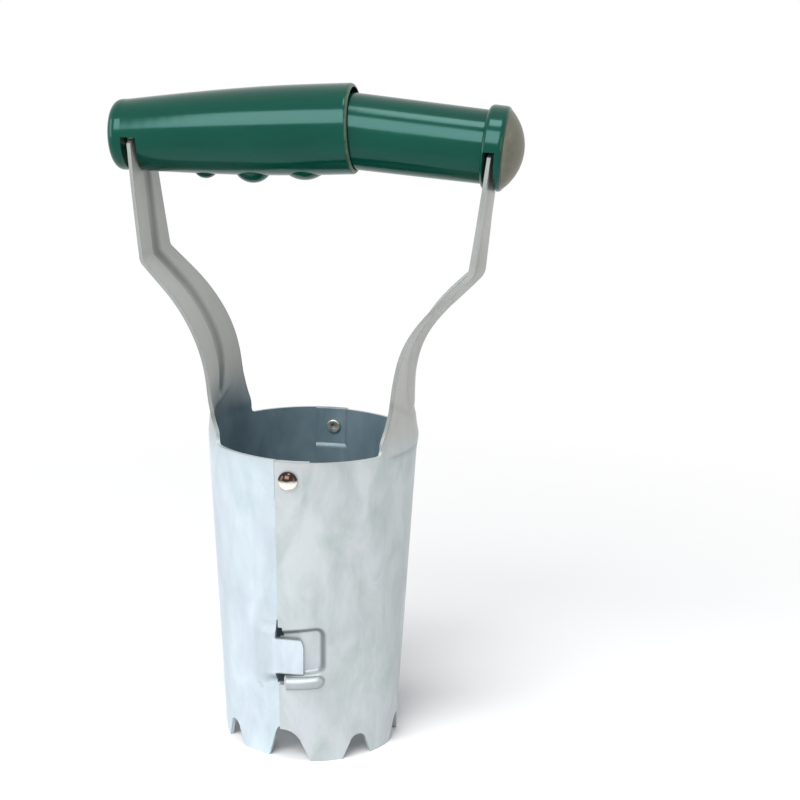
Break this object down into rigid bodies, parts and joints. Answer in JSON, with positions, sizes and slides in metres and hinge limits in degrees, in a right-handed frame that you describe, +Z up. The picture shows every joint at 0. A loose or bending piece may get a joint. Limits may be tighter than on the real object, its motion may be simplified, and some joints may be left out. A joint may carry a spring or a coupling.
{
  "type": "seedling transplanter",
  "caption": "Hand bulb and seedling transplanter: two pressed steel half cups with toothed rims on riveted strap arms, opened at the bottom by squeezing a telescoping grip.",
  "frame": {"origin": "on the cup's axis, at the level of the tooth tips", "axes": "+X runs along the grips to the right in the picture, +Y points to the back along the rivets, +Z points up to the grips"},
  "size_m": [0.1366, 0.0772, 0.2222],
  "materials": {
    "galvanised_sheet": "smooth galvanised sheet, slightly mottled",
    "nickel": "bright plated steel",
    "spring_wire": "drawn spring wire",
    "green_plastic": "glossy moulded green plastic",
    "dull_cap": "satin grey-olive metal cap"
  },
  "bodies": {
    "left_side": {"left_half": "galvanised_sheet", "outer_grip": "green_plastic", "left_end_cap": "green_plastic", "left_grip_screw": "nickel", "front_rivet": "nickel", "back_rivet": "nickel", "return_spring": "spring_wire"},
    "right_side": {"right_half": "galvanised_sheet", "inner_grip": "green_plastic", "right_end_cap": "dull_cap", "right_grip_screw": "nickel"}
  },
  "joints": [
    {"name": "squeeze", "type": "hinge", "parent": "left_side", "child": "right_side", "pos_m": [0, 0, 0.099], "axis": [0, -1, 0], "range_deg": [0, 7.5], "stiffness_Nm_per_rad": 3, "springref_deg": -11.46, "deforming": ["return_spring"]}
  ]
}
